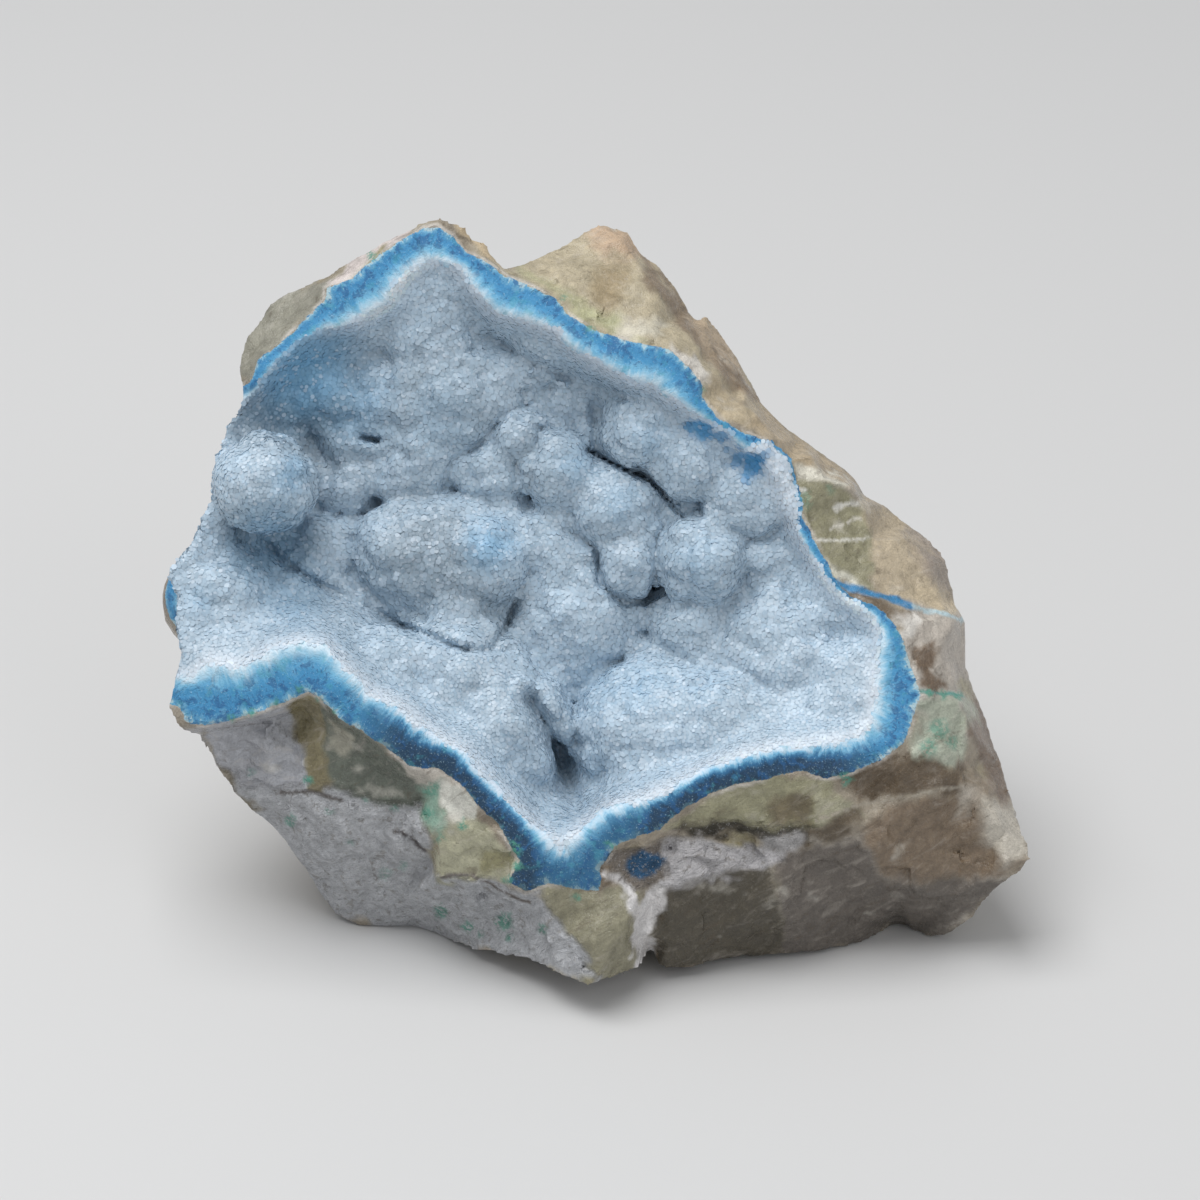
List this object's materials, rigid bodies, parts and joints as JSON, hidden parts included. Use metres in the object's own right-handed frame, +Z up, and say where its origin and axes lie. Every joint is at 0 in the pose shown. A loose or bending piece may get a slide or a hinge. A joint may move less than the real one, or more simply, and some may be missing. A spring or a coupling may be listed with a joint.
{
  "type": "shattuckite in quartz specimen",
  "caption": "Natural quartz block with an open vug lined by a blue shattuckite crust and rounded knobs of small quartz crystals, standing on a flat broken face.",
  "frame": {"origin": "middle of the bounding box, on the resting face", "axes": "+Z up, +X along the longest side, -Y toward the open side of the vug, which leans back about 30 degrees"},
  "size_m": [0.0868, 0.0582, 0.0673],
  "materials": {
    "quartz_and_shattuckite": "broken quartz with a sugary crystal lining, satin to glittering"
  },
  "bodies": {
    "root": {"shattuckite_in_quartz": "quartz_and_shattuckite"}
  },
  "joints": []
}
